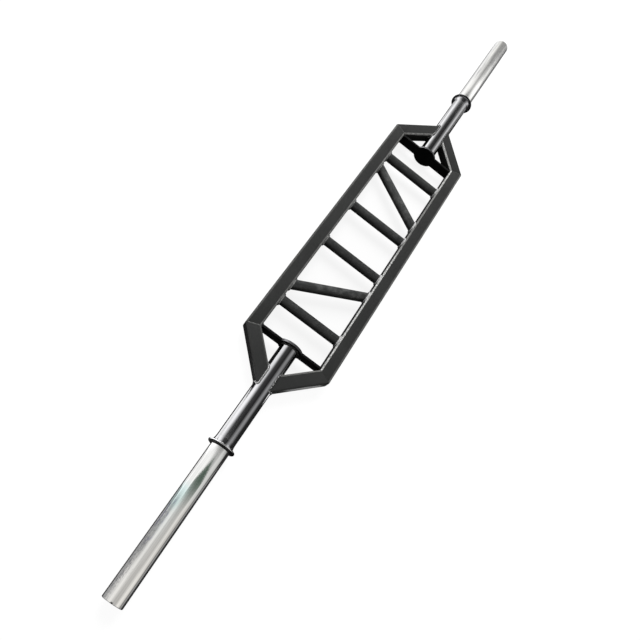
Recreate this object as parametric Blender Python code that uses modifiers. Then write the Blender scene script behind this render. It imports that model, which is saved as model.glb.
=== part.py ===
"""Swiss bar: a welded frame of square tube with six cross handles and a turning sleeve at each end.

The bar lies along X, its left side is +Y and up is +Z. It stands on its two stop collars,
with the origin under its middle. End a is at -X and end b at +X. Sizes are in metres.
"""

import math

import bmesh
import bpy
from mathutils import Matrix, Vector

# Clearances: still pieces that meet, and pieces that turn past each other
SEAT = 0.0003
RUNNING = 0.0003

# Whole bar
BAR_LENGTH = 2.130
SLEEVE_LENGTH = 0.366

# Square hollow section of the frame, and the frame's centre lines
RAIL_SIZE = 0.038
RAIL_WALL = 0.003
RAIL_CORNER = 0.0055
RAIL_SPACING = 0.220
CORNER_X = 0.411
END_RAIL_ANGLE = math.radians(45)
RAIL_WELD = 0.003

# Cross plates: a flat bar with a round disc in its middle
PLATE_THICKNESS = 0.0065
PLATE_HEIGHT = 0.034
DISC_DIAMETER = 0.070
PLATE_SET_BACK = 0.0005

# Stub tubes
STUB_DIAMETER = 0.050
STUB_WALL = 0.004
STUB_WELD = 0.003

# Handles
HANDLE_DIAMETER = 0.028
HANDLE_WALL = 0.003
OUTER_HANDLE_X = 0.304
ANGLED_HANDLE_X = 0.197
INNER_HANDLE_X = 0.0762
HANDLE_TILT = math.radians(30)
HANDLE_WELD = 0.004

# Stop collars
COLLAR_DIAMETER = 0.070
COLLAR_THICKNESS = 0.006
COLLAR_ROUNDING = 0.0015
COLLAR_RECESS_DEPTH = 0.0008
SPIGOT_LENGTH = 0.020

# Axles
AXLE_DIAMETER = 0.030
AXLE_IN_STUB = 0.130
AXLE_CHAMFER = 0.0015
AXLE_RING_LENGTH = 0.012
AXLE_RING_INSET = 0.003

# Sleeves, and what turns with them or holds them
SLEEVE_DIAMETER = 0.050
SLEEVE_BORE = 0.038
SLEEVE_CHAMFER = 0.0012
BUSH_DIAMETER = 0.042
BUSH_LENGTH = 0.040
THRUST_WASHER_DIAMETER = 0.053
THRUST_WASHER_THICKNESS = 0.0015
END_WASHER_DIAMETER = 0.036
END_WASHER_THICKNESS = 0.004
END_PLUG_THICKNESS = 0.004
END_PLUG_RECESS = 0.001
END_PLUG_CHAMFER = 0.0008
END_PLUG_HOLE_ROOM = 0.001

# End bolts, with a hexagon socket in a round head
BOLT_DIAMETER = 0.010
BOLT_REACH = 0.025
BOLT_HEAD_DIAMETER = 0.016
BOLT_HEAD_HEIGHT = 0.010
BOLT_HEAD_CHAMFER = 0.0008
BOLT_HEAD_RECESS = 0.003
BOLT_SOCKET_WIDTH = 0.008
BOLT_SOCKET_DEPTH = 0.005
BOLT_SOCKET_SIDES = 6
BOLT_HOLE_SPARE = 0.004

# Facets: steps round the large turned pieces, the handles, the hidden pieces and small arcs
ROUND_STEPS = 40
HANDLE_STEPS = 32
HIDDEN_STEPS = 28
CORNER_STEPS = 4
COLLAR_ARC_STEPS = 2
DISC_STEPS = 13
WELD_STEPS = 8
SMOOTH_ANGLE = math.radians(35)
WELD_DISTANCE = 0.00001
CUTTER_EXTRA = 0.010

# Places that follow from the sizes above; each X is a distance outward from the bar's middle
AXIS_HEIGHT = COLLAR_DIAMETER / 2
RAIL_Y = RAIL_SPACING / 2
RAIL_INNER_Y = RAIL_Y - RAIL_SIZE / 2
MITRE_SLOPE = math.tan(END_RAIL_ANGLE / 2)
MITRE_GAP = SEAT / 2 / math.cos(END_RAIL_ANGLE / 2)
INNER_CORNER_X = CORNER_X - RAIL_SIZE / 2 * MITRE_SLOPE
PLATE_OUTER_X = INNER_CORNER_X - PLATE_SET_BACK
STUB_START_X = PLATE_OUTER_X + SEAT
SLEEVE_END_X = BAR_LENGTH / 2
SLEEVE_START_X = SLEEVE_END_X - SLEEVE_LENGTH
THRUST_WASHER_X = SLEEVE_START_X - RUNNING - THRUST_WASHER_THICKNESS
COLLAR_FACE_X = THRUST_WASHER_X - SEAT + COLLAR_RECESS_DEPTH
COLLAR_START_X = COLLAR_FACE_X - COLLAR_THICKNESS
STUB_END_X = COLLAR_START_X - SEAT
AXLE_START_X = STUB_END_X - AXLE_IN_STUB
END_PLUG_X = SLEEVE_END_X - END_PLUG_RECESS - END_PLUG_THICKNESS
BOLT_HEAD_X = SLEEVE_END_X - BOLT_HEAD_RECESS - BOLT_HEAD_HEIGHT
END_WASHER_X = BOLT_HEAD_X - SEAT - END_WASHER_THICKNESS
AXLE_END_X = END_WASHER_X - SEAT
BUSH_OUTER_X = END_WASHER_X - RUNNING - BUSH_LENGTH

# Radii that follow from the sizes above
STUB_BORE_RADIUS = STUB_DIAMETER / 2 - STUB_WALL
AXLE_RADIUS = AXLE_DIAMETER / 2
AXLE_SEAT_RADIUS = AXLE_RADIUS + SEAT
BUSH_BORE_RADIUS = AXLE_RADIUS + RUNNING
BUSH_SEAT_RADIUS = BUSH_DIAMETER / 2 + SEAT
BOLT_HOLE_RADIUS = BOLT_DIAMETER / 2 + SEAT

ENDS = {"a": -1, "b": 1}
SIDES = {"left": 1, "right": -1}


def clear_scene():
    for item in list(bpy.data.objects):
        bpy.data.objects.remove(item, do_unlink=True)


def make_collection(name):
    collection = bpy.data.collections.new(name)
    bpy.context.scene.collection.children.link(collection)
    return collection


def make_material(name, color, roughness, metallic):
    material = bpy.data.materials.new(name)
    material.use_nodes = True
    shader = material.node_tree.nodes["Principled BSDF"]
    shader.inputs["Base Color"].default_value = (*color, 1.0)
    shader.inputs["Roughness"].default_value = roughness
    shader.inputs["Metallic"].default_value = metallic
    material.diffuse_color = (*color, 1.0)
    return material


def make_materials():
    return {
        "matt_black": make_material("matt_black_paint", (0.040, 0.041, 0.043), 0.55, 0.0),
        "satin_black": make_material("satin_black_paint", (0.028, 0.030, 0.031), 0.40, 0.0),
        "gloss_black": make_material("gloss_black_finish", (0.020, 0.021, 0.024), 0.16, 0.5),
        "chrome": make_material("bright_chrome", (0.80, 0.80, 0.79), 0.15, 1.0),
        "steel": make_material("plain_steel", (0.50, 0.50, 0.49), 0.35, 1.0),
        "bronze": make_material("bearing_bronze", (0.55, 0.36, 0.17), 0.38, 1.0),
        "nylon": make_material("black_nylon", (0.015, 0.015, 0.016), 0.50, 0.0),
    }


def add_empty(name, location, parent=None):
    empty = bpy.data.objects.new(name, None)
    bar_collection.objects.link(empty)
    empty.location = location
    empty.parent = parent
    return empty


def add_piece(name, mesh, material, parent):
    piece = bpy.data.objects.new(name, mesh)
    bar_collection.objects.link(piece)
    piece.parent = parent
    if not mesh.materials:
        mesh.materials.append(material)
    return piece


def add_cutter(name, mesh, parent=None):
    cutter = bpy.data.objects.new(name, mesh)
    cutter_collection.objects.link(cutter)
    cutter.parent = parent
    cutter.hide_render = True
    cutter.display_type = "WIRE"
    return cutter


def combine(piece, other, operation):
    modifier = piece.modifiers.new(other.name, "BOOLEAN")
    modifier.operation = operation
    modifier.object = other
    modifier.solver = "EXACT"


def finish_mesh(name, shape):
    bmesh.ops.remove_doubles(shape, verts=shape.verts, dist=WELD_DISTANCE)
    bmesh.ops.recalc_face_normals(shape, faces=shape.faces)
    mesh = bpy.data.meshes.new(name)
    shape.to_mesh(mesh)
    shape.free()
    mesh.shade_smooth()
    mesh.set_sharp_from_angle(angle=SMOOTH_ANGLE)
    return mesh


def arc_points(center, radius, start, end, steps):
    """Points along an arc, in the plane, from one angle to another."""
    points = []
    for step in range(steps + 1):
        angle = start + (end - start) * step / steps
        points.append(center + radius * Vector((math.cos(angle), math.sin(angle))))
    return points


def settled_mesh(name, drawing):
    """The mesh that an object gives with its modifiers applied; the object is removed."""
    evaluated = drawing.evaluated_get(bpy.context.evaluated_depsgraph_get())
    settled = bpy.data.meshes.new_from_object(evaluated)
    shape = bmesh.new()
    shape.from_mesh(settled)
    bpy.data.objects.remove(drawing, do_unlink=True)
    bpy.data.meshes.remove(settled)
    return finish_mesh(name, shape)


def outline_mesh(name, outlines, thickness):
    """A flat shape from closed outlines in XY, thickened evenly along Z."""
    curve = bpy.data.curves.new(name, "CURVE")
    curve.dimensions = "2D"
    curve.fill_mode = "BOTH"
    curve.extrude = thickness / 2
    for outline in outlines:
        spline = curve.splines.new("POLY")
        spline.points.add(len(outline) - 1)
        for target, point in zip(spline.points, outline):
            target.co = (point.x, point.y, 0.0, 1.0)
        spline.use_cyclic_u = True
    drawing = bpy.data.objects.new(name, curve)
    cutter_collection.objects.link(drawing)
    return settled_mesh(name, drawing)


def rounded_square(size, corner):
    """Outline of a square with round corners."""
    reach = size / 2 - corner
    points = []
    for quarter in range(4):
        turn = Matrix.Rotation(math.pi / 2 * quarter, 2)
        center = turn @ Vector((reach, reach))
        start = math.pi / 2 * quarter
        points += arc_points(center, corner, start, start + math.pi / 2, CORNER_STEPS)
    return points


def section_mesh(name, length, start_slope, end_slope, outward=0.0, inward=RAIL_WALL):
    """Square tube along X from 0 to length; a slope slants an end, x per unit of y.

    Its skins lie outward and inward of the rail's outer surface.
    """
    outer = rounded_square(RAIL_SIZE + 2 * outward, RAIL_CORNER + outward)
    inner = rounded_square(RAIL_SIZE - 2 * inward, RAIL_CORNER - inward)
    mesh = outline_mesh(name, [outer, inner], length)
    mesh.transform(Matrix.Translation((length / 2, 0, 0)) @ Matrix.Rotation(math.pi / 2, 4, "Y"))
    for vertex in mesh.vertices:
        slope = end_slope if vertex.co.x > length / 2 else start_slope
        vertex.co.x += slope * vertex.co.y
    return mesh


def cylinder_mesh(name, radius, length, steps=ROUND_STEPS):
    """Solid cylinder along X, centred on its middle."""
    shape = bmesh.new()
    bmesh.ops.create_cone(
        shape, cap_ends=True, segments=steps, radius1=radius, radius2=radius, depth=length,
        matrix=Matrix.Rotation(math.pi / 2, 4, "Y"),
    )
    return finish_mesh(name, shape)


def turned_mesh(name, profile, steps=ROUND_STEPS):
    """A profile of (radius, height) points spun about Z; it runs down the outer side first."""
    points = [(radius, 0.0, height) for radius, height in profile]
    edges = list(zip(range(len(points) - 1), range(1, len(points))))
    if profile[0][0] > 0:
        edges.append((len(points) - 1, 0))
    drawing_mesh = bpy.data.meshes.new(name)
    drawing_mesh.from_pydata(points, edges, [])
    drawing = bpy.data.objects.new(name, drawing_mesh)
    cutter_collection.objects.link(drawing)
    screw = drawing.modifiers.new("turn", "SCREW")
    screw.axis = "Z"
    screw.angle = 2 * math.pi
    screw.steps = steps
    screw.render_steps = steps
    screw.use_merge_vertices = True
    screw.merge_threshold = WELD_DISTANCE
    return settled_mesh(name, drawing)


def corner_radius(radius):
    """Radius of the facet corners on a round piece whose flats lie at the given radius."""
    return radius / math.cos(math.pi / ROUND_STEPS)


def ring_profile(inner, outer, length):
    """Profile of a plain ring from height 0 to length."""
    return [(outer, length), (outer, 0.0), (inner, 0.0), (inner, length)]


def put_outward(piece, end, x):
    """Stands a piece turned about Z on the bar's axis, its height running outward from x."""
    sign = ENDS[end]
    piece.location = (sign * x, 0, 0)
    piece.rotation_euler = (0, sign * math.pi / 2, 0)


def make_rails(materials, frame):
    """Two side rails, mitred at both ends."""
    length = 2 * (CORNER_X - MITRE_GAP)
    mesh = section_mesh("side_rail", length, -MITRE_SLOPE, MITRE_SLOPE)
    for side, sign in SIDES.items():
        rail = add_piece(f"rail_{side}", mesh, materials["matt_black"], frame)
        turn = Matrix.Rotation(0 if sign > 0 else math.pi, 4, "X")
        rail.matrix_local = turn @ Matrix.Translation((-length / 2, RAIL_Y, 0))


def cope_weld_mesh(place, length, end_slope):
    """The weld round an end rail that stands at the given place, where it meets the stub tube."""
    skin = section_mesh("cope_weld", length - SEAT, 0.0, end_slope, RAIL_WELD, RAIL_WALL / 2)
    weld = add_cutter("cope_weld", skin)
    weld.matrix_world = place
    reach_mesh = cylinder_mesh("weld_reach", STUB_DIAMETER / 2 + RAIL_WELD, BAR_LENGTH)
    reach = add_cutter("weld_reach", reach_mesh)
    combine(weld, reach, "INTERSECT")
    mesh = settled_mesh("cope_weld", weld)
    bpy.data.objects.remove(reach, do_unlink=True)
    return mesh


def make_end_rails(materials, frame):
    """Four end rails, mitred to the side rails, run into the stub tubes and cut back round them."""
    inside_y = STUB_BORE_RADIUS / 2
    start = MITRE_GAP
    length = (RAIL_Y - inside_y) / math.sin(END_RAIL_ANGLE) - start
    end_slope = 1 / math.tan(END_RAIL_ANGLE)
    mesh = section_mesh("end_rail", length, -MITRE_SLOPE, end_slope)
    cope = cylinder_mesh("cope", STUB_DIAMETER / 2 + SEAT, BAR_LENGTH)
    cope_cutter = add_cutter("stub_cope", cope, frame)
    corner = Matrix.Translation((CORNER_X, RAIL_Y, 0)) @ Matrix.Rotation(-END_RAIL_ANGLE, 4, "Z")
    place = corner @ Matrix.Translation((start, 0, 0))
    weld_mesh = cope_weld_mesh(place, length, end_slope)
    turns = {
        ("b", "left"): Matrix.Identity(4),
        ("b", "right"): Matrix.Rotation(math.pi, 4, "X"),
        ("a", "left"): Matrix.Rotation(math.pi, 4, "Y"),
        ("a", "right"): Matrix.Rotation(math.pi, 4, "Z"),
    }
    for (end, side), turn in turns.items():
        rail = add_piece(f"end_rail_{end}_{side}", mesh, materials["matt_black"], frame)
        rail.matrix_local = turn @ place
        weld = add_cutter(f"cope_weld_{end}_{side}", weld_mesh, frame)
        weld.matrix_local = turn @ place
        combine(rail, weld, "UNION")
        combine(rail, cope_cutter, "DIFFERENCE")


def plate_outline():
    """Half bar, disc arc and the same again on the other side, in the plane across the bar."""
    reach = RAIL_INNER_Y - SEAT
    radius = corner_radius(DISC_DIAMETER / 2)
    half_height = PLATE_HEIGHT / 2
    meet = math.asin(half_height / radius)
    upper = arc_points(Vector((0, 0)), radius, meet, math.pi - meet, DISC_STEPS)
    lower = arc_points(Vector((0, 0)), radius, math.pi + meet, 2 * math.pi - meet, DISC_STEPS)
    left = [Vector((-reach, half_height)), Vector((-reach, -half_height))]
    right = [Vector((reach, -half_height)), Vector((reach, half_height))]
    return right + upper + left + lower


def make_cross_plates(materials, frame):
    mesh = outline_mesh("cross_plate", [plate_outline()], PLATE_THICKNESS)
    stand = Matrix.Rotation(math.pi / 2, 4, "Z") @ Matrix.Rotation(math.pi / 2, 4, "X")
    mesh.transform(stand)
    for end, sign in ENDS.items():
        plate = add_piece(f"cross_plate_{end}", mesh, materials["satin_black"], frame)
        plate.location.x = sign * (PLATE_OUTER_X - PLATE_THICKNESS / 2)


def make_stub_tubes(materials, frame):
    """Tube from the disc to the collar, with a weld fillet round each end."""
    length = STUB_END_X - STUB_START_X
    radius = STUB_DIAMETER / 2
    profile = [
        (radius + STUB_WELD, length),
        (radius, length - STUB_WELD),
        (radius, STUB_WELD),
        (radius + STUB_WELD, 0.0),
        (STUB_BORE_RADIUS, 0.0),
        (STUB_BORE_RADIUS, length),
    ]
    mesh = turned_mesh("stub_tube", profile)
    for end in ENDS:
        tube = add_piece(f"stub_tube_{end}", mesh, materials["gloss_black"], frame)
        put_outward(tube, end, STUB_START_X)


def handle_cutters(frame):
    """Two bars in the place of the side rails, a little larger, that shape the handle ends."""
    size = RAIL_SIZE + 2 * SEAT
    bar = outline_mesh("rail_space", [rounded_square(size, RAIL_CORNER + SEAT)], 2 * CORNER_X)
    bar.transform(Matrix.Rotation(math.pi / 2, 4, "Y"))
    cutters = []
    for side, sign in SIDES.items():
        cutter = add_cutter(f"rail_space_{side}", bar, frame)
        cutter.location.y = sign * RAIL_Y
        cutters.append(cutter)
    return cutters


def weld_ring_mesh(name, stretch):
    """A ring about Y that lies where a handle meets a rail, stretched along the rail."""
    shape = bmesh.new()
    ring = bmesh.ops.create_circle(
        shape, segments=WELD_STEPS, radius=HANDLE_WELD,
        matrix=Matrix.Translation((HANDLE_DIAMETER / 2, 0, 0)),
    )
    edges = list({edge for vertex in ring["verts"] for edge in vertex.link_edges})
    bmesh.ops.spin(
        shape, geom=ring["verts"] + edges, cent=(0, 0, 0), axis=(0, 1, 0),
        angle=2 * math.pi, steps=HANDLE_STEPS, use_merge=True,
    )
    bmesh.ops.scale(shape, vec=(stretch, 1, 1), verts=shape.verts)
    return finish_mesh(name, shape)


def make_handle(name, x, tilt, materials, frame, rail_spaces):
    """A tube across the frame, tilted about Z, with a weld ring at each rail."""
    length = 2 * RAIL_Y / math.cos(tilt)
    bar = cylinder_mesh(name, HANDLE_DIAMETER / 2, length, HANDLE_STEPS)
    bore_radius = HANDLE_DIAMETER / 2 - HANDLE_WALL
    bore = cylinder_mesh(f"{name}_bore", bore_radius, length + CUTTER_EXTRA, HANDLE_STEPS)
    handle = add_piece(name, bar, materials["satin_black"], frame)
    handle.location.x = x
    handle.rotation_euler.z = math.pi / 2 + tilt
    ring = weld_ring_mesh(f"{name}_weld", 1 / math.cos(tilt))
    for side, sign in SIDES.items():
        weld = add_cutter(f"{name}_weld_{side}", ring, frame)
        weld.location = (x - sign * RAIL_INNER_Y * math.tan(tilt), sign * RAIL_INNER_Y, 0)
        combine(handle, weld, "UNION")
    bore_cutter = add_cutter(f"{name}_bore", bore, frame)
    bore_cutter.location = handle.location
    bore_cutter.rotation_euler = handle.rotation_euler
    combine(handle, bore_cutter, "DIFFERENCE")
    for space in rail_spaces:
        combine(handle, space, "DIFFERENCE")


def make_handles(materials, frame):
    """Three handles at each end; the angled ones lean opposite ways, outward at the left rail."""
    rail_spaces = handle_cutters(frame)
    rows = {
        "outer": (OUTER_HANDLE_X, 0.0),
        "angled": (ANGLED_HANDLE_X, HANDLE_TILT),
        "inner": (INNER_HANDLE_X, 0.0),
    }
    for kind, (x, tilt) in rows.items():
        for end, sign in ENDS.items():
            make_handle(f"handle_{kind}_{end}", sign * x, -sign * tilt, materials, frame, rail_spaces)


def make_collars(materials, frame):
    """Stop collar with a spigot in the stub tube, a bore for the axle and a recess for the washer.

    It stands on one of its flats.
    """
    radius = corner_radius(COLLAR_DIAMETER / 2)
    top = SPIGOT_LENGTH + SEAT + COLLAR_THICKNESS
    bottom = SPIGOT_LENGTH + SEAT
    edge = COLLAR_ROUNDING
    quarter = math.pi / 2
    upper = arc_points(Vector((radius - edge, top - edge)), edge, quarter, 0, COLLAR_ARC_STEPS)
    lower = arc_points(Vector((radius - edge, bottom + edge)), edge, 0, -quarter, COLLAR_ARC_STEPS)
    spigot = STUB_BORE_RADIUS - SEAT
    recess = corner_radius(THRUST_WASHER_DIAMETER / 2 + SEAT)
    floor = top - COLLAR_RECESS_DEPTH
    profile = [(point.x, point.y) for point in upper + lower]
    profile += [(spigot, bottom), (spigot, 0.0), (AXLE_SEAT_RADIUS, 0.0)]
    profile += [(AXLE_SEAT_RADIUS, floor), (recess, floor), (recess, top)]
    mesh = turned_mesh("collar", profile)
    mesh.transform(Matrix.Rotation(math.pi / ROUND_STEPS, 4, "Z"))
    for end in ENDS:
        collar = add_piece(f"collar_{end}", mesh, materials["gloss_black"], frame)
        put_outward(collar, end, COLLAR_START_X - bottom)


def make_axles(materials, frame):
    """Solid axle with a threaded hole in its outer end, and the ring that centres its inner end."""
    length = AXLE_END_X - AXLE_START_X
    hole_bottom = length - BOLT_REACH - BOLT_HOLE_SPARE
    profile = [
        (BOLT_HOLE_RADIUS, length),
        (AXLE_RADIUS - AXLE_CHAMFER, length),
        (AXLE_RADIUS, length - AXLE_CHAMFER),
        (AXLE_RADIUS, AXLE_CHAMFER),
        (AXLE_RADIUS - AXLE_CHAMFER, 0.0),
        (0.0, 0.0),
    ]
    hole = [(0.0, hole_bottom), (BOLT_HOLE_RADIUS, hole_bottom)]
    mesh = turned_mesh("axle", hole + profile, HIDDEN_STEPS)
    ring_outer = STUB_BORE_RADIUS - SEAT
    ring_points = ring_profile(AXLE_SEAT_RADIUS, ring_outer, AXLE_RING_LENGTH)
    ring = turned_mesh("axle_ring", ring_points, HIDDEN_STEPS)
    for end in ENDS:
        axle = add_piece(f"axle_{end}", mesh, materials["steel"], frame)
        put_outward(axle, end, AXLE_START_X)
        axle_ring = add_piece(f"axle_ring_{end}", ring, materials["steel"], frame)
        put_outward(axle_ring, end, AXLE_START_X + AXLE_RING_INSET)


def make_thrust_washers(materials, frame):
    profile = ring_profile(AXLE_SEAT_RADIUS, THRUST_WASHER_DIAMETER / 2, THRUST_WASHER_THICKNESS)
    mesh = turned_mesh("thrust_washer", profile, HIDDEN_STEPS)
    for end in ENDS:
        washer = add_piece(f"thrust_washer_{end}", mesh, materials["nylon"], frame)
        put_outward(washer, end, THRUST_WASHER_X)


def make_end_washers(materials, frame):
    profile = ring_profile(BOLT_HOLE_RADIUS, END_WASHER_DIAMETER / 2, END_WASHER_THICKNESS)
    mesh = turned_mesh("end_washer", profile, HIDDEN_STEPS)
    for end in ENDS:
        washer = add_piece(f"end_washer_{end}", mesh, materials["steel"], frame)
        put_outward(washer, end, END_WASHER_X)


def make_end_bolts(materials, frame):
    """Round head with a hexagon socket; the shank reaches through the end washer into the axle."""
    head_radius = BOLT_HEAD_DIAMETER / 2
    profile = [
        (0.0, BOLT_HEAD_HEIGHT),
        (head_radius - BOLT_HEAD_CHAMFER, BOLT_HEAD_HEIGHT),
        (head_radius, BOLT_HEAD_HEIGHT - BOLT_HEAD_CHAMFER),
        (head_radius, 0.0),
        (BOLT_DIAMETER / 2, 0.0),
        (BOLT_DIAMETER / 2, -BOLT_REACH),
        (0.0, -BOLT_REACH),
    ]
    mesh = turned_mesh("end_bolt", profile, HIDDEN_STEPS)
    socket_radius = BOLT_SOCKET_WIDTH / 2 / math.cos(math.pi / BOLT_SOCKET_SIDES)
    socket = cylinder_mesh("bolt_socket", socket_radius, 2 * BOLT_SOCKET_DEPTH, BOLT_SOCKET_SIDES)
    for end, sign in ENDS.items():
        bolt = add_piece(f"end_bolt_{end}", mesh, materials["steel"], frame)
        put_outward(bolt, end, BOLT_HEAD_X)
        socket_cutter = add_cutter(f"bolt_socket_{end}", socket, frame)
        socket_cutter.location.x = sign * (BOLT_HEAD_X + BOLT_HEAD_HEIGHT)
        combine(bolt, socket_cutter, "DIFFERENCE")


def make_sleeves(materials, turning):
    """Loading sleeve with a bush seat bored into each end, up to a step that holds the bush."""
    radius = SLEEVE_DIAMETER / 2
    inner_step = RUNNING + BUSH_LENGTH + SEAT
    outer_step = BUSH_OUTER_X - SEAT - SLEEVE_START_X
    profile = [
        (radius - SLEEVE_CHAMFER, SLEEVE_LENGTH),
        (radius, SLEEVE_LENGTH - SLEEVE_CHAMFER),
        (radius, SLEEVE_CHAMFER),
        (radius - SLEEVE_CHAMFER, 0.0),
        (BUSH_SEAT_RADIUS, 0.0),
        (BUSH_SEAT_RADIUS, inner_step),
        (SLEEVE_BORE / 2, inner_step),
        (SLEEVE_BORE / 2, outer_step),
        (BUSH_SEAT_RADIUS, outer_step),
        (BUSH_SEAT_RADIUS, SLEEVE_LENGTH),
    ]
    mesh = turned_mesh("sleeve", profile)
    for end in ENDS:
        sleeve = add_piece(f"sleeve_{end}", mesh, materials["chrome"], turning[end])
        put_outward(sleeve, end, 0)


def make_bushes(materials, turning):
    profile = ring_profile(BUSH_BORE_RADIUS, BUSH_DIAMETER / 2, BUSH_LENGTH)
    mesh = turned_mesh("bush", profile, HIDDEN_STEPS)
    places = {"inner": RUNNING, "outer": BUSH_OUTER_X - SLEEVE_START_X}
    for end in ENDS:
        for place, x in places.items():
            bush = add_piece(f"bush_{place}_{end}", mesh, materials["bronze"], turning[end])
            put_outward(bush, end, x)


def make_end_plugs(materials, turning):
    """Round plate a little inside the sleeve's rim, with a hole round the head of the bolt."""
    radius = BUSH_DIAMETER / 2
    hole_radius = BOLT_HEAD_DIAMETER / 2 + END_PLUG_HOLE_ROOM
    profile = [
        (radius - END_PLUG_CHAMFER, END_PLUG_THICKNESS),
        (radius, END_PLUG_THICKNESS - END_PLUG_CHAMFER),
        (radius, 0.0),
        (hole_radius, 0.0),
        (hole_radius, END_PLUG_THICKNESS),
    ]
    mesh = turned_mesh("end_plug", profile, HIDDEN_STEPS)
    for end in ENDS:
        plug = add_piece(f"end_plug_{end}", mesh, materials["chrome"], turning[end])
        put_outward(plug, end, END_PLUG_X - SLEEVE_START_X)


def make_bar():
    materials = make_materials()
    frame = add_empty("welded_frame", (0, 0, AXIS_HEIGHT))
    turning = {}
    for end, sign in ENDS.items():
        turning[end] = add_empty(f"turning_{end}", (sign * SLEEVE_START_X, 0, 0), frame)
    make_rails(materials, frame)
    make_end_rails(materials, frame)
    make_cross_plates(materials, frame)
    make_stub_tubes(materials, frame)
    make_handles(materials, frame)
    make_collars(materials, frame)
    make_axles(materials, frame)
    make_thrust_washers(materials, frame)
    make_end_washers(materials, frame)
    make_end_bolts(materials, frame)
    make_sleeves(materials, turning)
    make_bushes(materials, turning)
    make_end_plugs(materials, turning)
    bpy.context.view_layer.update()


clear_scene()
bar_collection = make_collection("swiss_bar")
cutter_collection = make_collection("cutters")
make_bar()
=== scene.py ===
from math import atan2, cos, hypot, pi, radians, sin, sqrt, tan

import bmesh
import bpy
from mathutils import Matrix, Vector, noise


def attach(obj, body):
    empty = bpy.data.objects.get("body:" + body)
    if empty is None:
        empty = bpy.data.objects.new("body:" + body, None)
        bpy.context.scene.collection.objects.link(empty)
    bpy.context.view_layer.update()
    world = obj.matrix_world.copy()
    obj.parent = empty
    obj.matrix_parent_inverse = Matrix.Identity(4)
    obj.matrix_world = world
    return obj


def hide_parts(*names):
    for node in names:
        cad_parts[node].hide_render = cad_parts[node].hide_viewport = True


# A swiss bar: a frame of square tube with six cross handles, and a chromed sleeve at each end.
# Metres. The bar lies along X, end a at -X and end b at +X, its left side at +Y, up is +Z.

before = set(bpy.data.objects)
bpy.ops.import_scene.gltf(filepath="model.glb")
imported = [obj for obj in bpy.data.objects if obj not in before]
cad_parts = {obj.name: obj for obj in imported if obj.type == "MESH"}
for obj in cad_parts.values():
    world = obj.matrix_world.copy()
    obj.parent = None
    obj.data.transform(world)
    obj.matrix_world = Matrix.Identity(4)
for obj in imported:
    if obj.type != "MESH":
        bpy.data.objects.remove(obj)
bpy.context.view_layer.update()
print("frame loaded:", len(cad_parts), "nodes")

scene = bpy.context.scene
axisHeight = 0.035  # of the bar's axis over the floor
ends = {"a": -1, "b": 1}
sides = {"left": 1, "right": -1}
mergeDistance = 0.000002
nearly = 0.0001  # places closer than this count as one
sharpAngle = 30  # degrees; edges past it stay sharp in the shading

# Camera

cameraSetup = {
    "location": (-0.9721, 0.1063, 1.3595), "turn": (20.013, -19.775, -57.628),
    "lens": 32.4536, "sensor": 36, "near": 0.05, "far": 50,
}

def addObject(name, data):
    added = bpy.data.objects.new(name, data)
    scene.collection.objects.link(added)
    return added

def makeCamera():
    data = bpy.data.cameras.new("camera")
    data.lens = cameraSetup["lens"]
    data.sensor_width = cameraSetup["sensor"]
    data.clip_start = cameraSetup["near"]
    data.clip_end = cameraSetup["far"]
    camera = addObject("camera", data)
    camera.location = cameraSetup["location"]
    camera.rotation_euler = [radians(angle) for angle in cameraSetup["turn"]]
    scene.camera = camera
    scene.view_settings.view_transform = "Standard"

# Ways of writing materials

# one socket of a material; arithmetic on it adds Math nodes
class Wire:
    def __init__(self, tree, socket=None):
        self.tree = tree
        self.socket = socket

    # any node: its settings first, then values or links for its sockets
    def node(self, kind, settings=None, inputs=None, out=0):
        made = self.tree.nodes.new(kind)
        for name, value in (settings or {}).items():
            if name == "stops":
                while len(made.color_ramp.elements) < len(value):
                    made.color_ramp.elements.new(1.0)
                for element, (place, color) in zip(made.color_ramp.elements, value):
                    element.position = place
                    element.color = (*color, 1)
            else:
                setattr(made, name, value)
        for name, value in (inputs or {}).items():
            if isinstance(value, Wire):
                self.tree.links.new(value.socket, made.inputs[name])
            else:
                made.inputs[name].default_value = value
        return Wire(self.tree, made.outputs[out])

    def math(self, operation, first, second=0.0):
        return self.node("ShaderNodeMath", {"operation": operation}, {0: first, 1: second})

    def __add__(self, other):
        return self.math("ADD", self, other)

    def __radd__(self, other):
        return self.math("ADD", other, self)

    def __sub__(self, other):
        return self.math("SUBTRACT", self, other)

    def __rsub__(self, other):
        return self.math("SUBTRACT", other, self)

    def __mul__(self, other):
        return self.math("MULTIPLY", self, other)

    def __truediv__(self, other):
        return self.math("DIVIDE", self, other)

    def __abs__(self):
        return self.math("ABSOLUTE", self)

    def atMost(self, other):
        return self.math("MINIMUM", self, other)

    def atLeast(self, other):
        return self.math("MAXIMUM", self, other)

    def wave(self):
        return self.math("SINE", self)

    # 0 below low, 1 above high, smooth between
    def step(self, low, high):
        return self.node(
            "ShaderNodeMapRange", {"interpolation_type": "SMOOTHSTEP"},
            {"Value": self, "From Min": low, "From Max": high})

    # 1 between two soft limits, each given by its low and high end
    def within(self, rise, fall):
        return self.step(*rise) * (1.0 - self.step(*fall))

    # the first colour where this is 0, the second where it is 1
    def mix(self, first, second):
        first, second = (color if isinstance(color, Wire) else (*color, 1) for color in (first, second))
        return self.node("ShaderNodeMix", {"data_type": "RGBA"}, {0: self, 6: first, 7: second}, out=2)

    # the named coordinates of a place, a wire for each
    def parts(self, names="XYZ"):
        outputs = self.node("ShaderNodeSeparateXYZ", None, {0: self}).socket.node.outputs
        return [Wire(self.tree, outputs[name]) for name in names]

finishes = {}

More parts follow.
